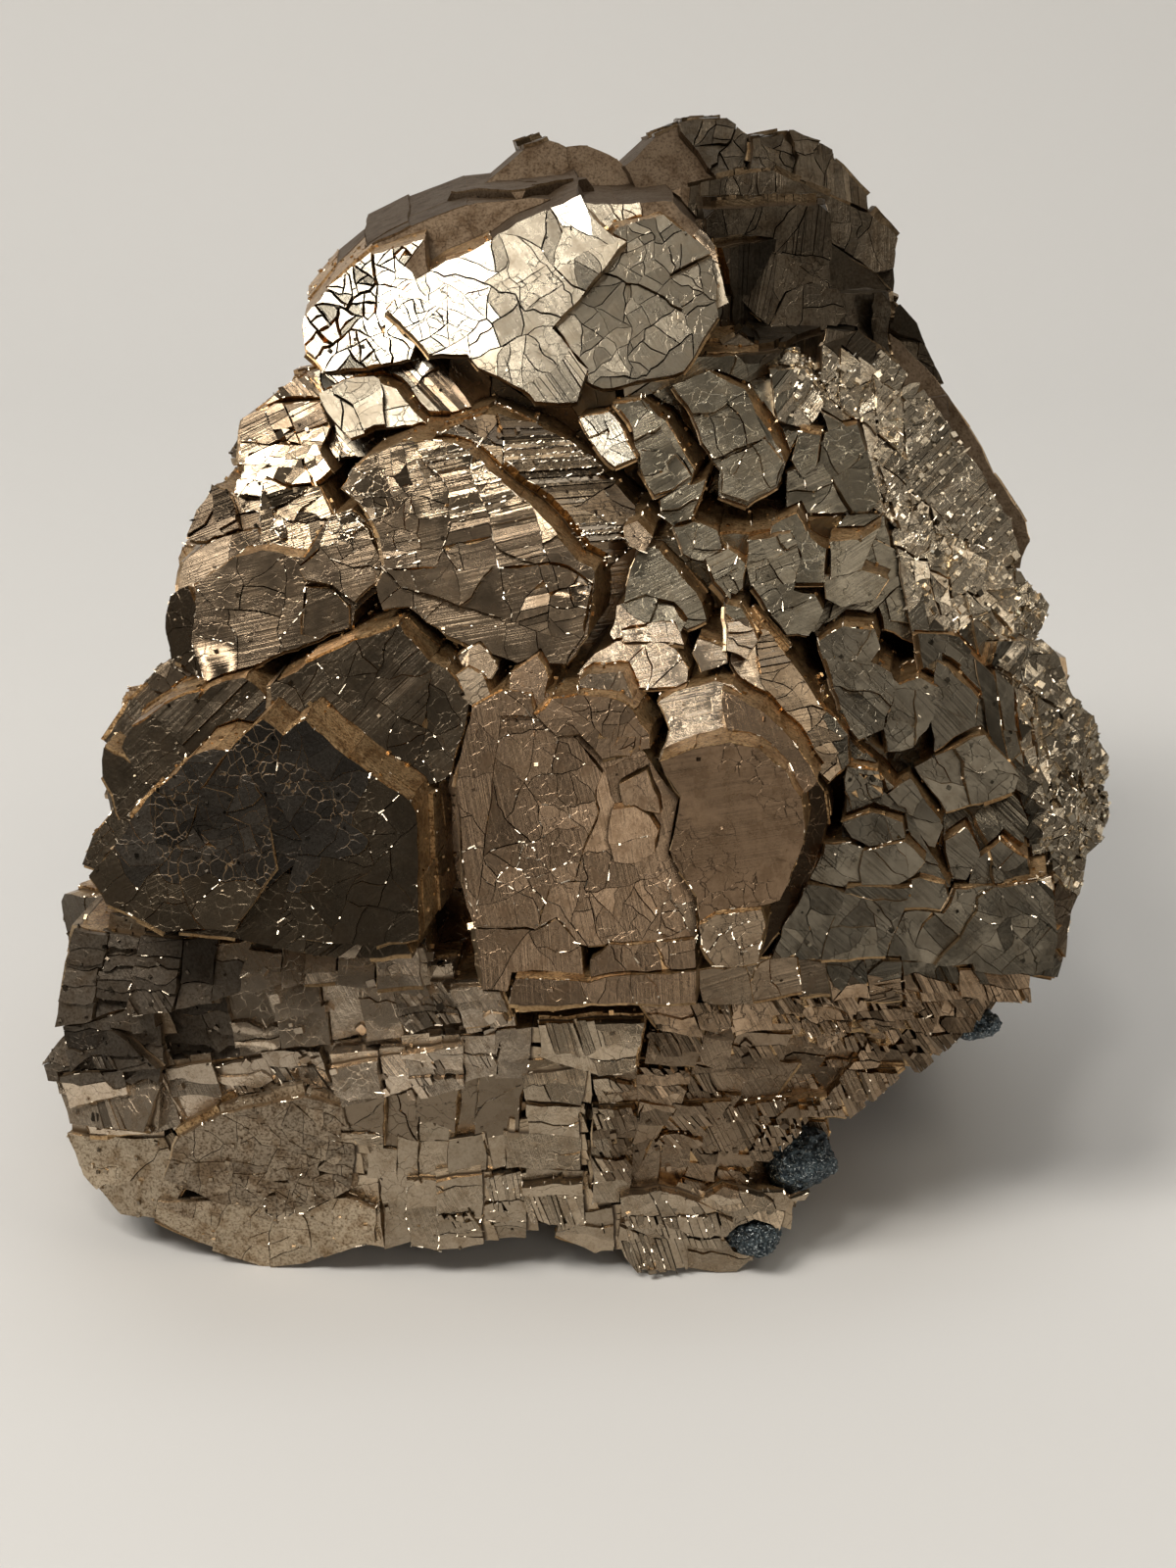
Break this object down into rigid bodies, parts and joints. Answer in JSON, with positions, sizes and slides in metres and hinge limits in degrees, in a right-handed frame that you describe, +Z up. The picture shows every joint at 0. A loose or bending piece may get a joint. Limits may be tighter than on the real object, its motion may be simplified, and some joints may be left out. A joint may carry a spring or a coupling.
{
  "type": "pyrite specimen",
  "caption": "Natural cluster of stepped, plate-like metallic pyrite crystals on a flat broken base, with small patches of blue-black hematite at its right foot.",
  "frame": {"origin": "middle of the bounding box's underside, on the plane of the flat broken base", "axes": "+Z up, -Y towards the stepped front face, +X to that face's right"},
  "size_m": [0.1518, 0.1328, 0.1368],
  "materials": {
    "pyrite": "tarnished brown-grey pyrite, metallic, striated and cracked, brassy on the risers",
    "hematite": "blue-black, granular, metallic glitter"
  },
  "bodies": {
    "root": {"pyrite": "pyrite", "hematite_knob": "hematite", "hematite_foot": "hematite", "hematite_ledge": "hematite"}
  },
  "joints": []
}
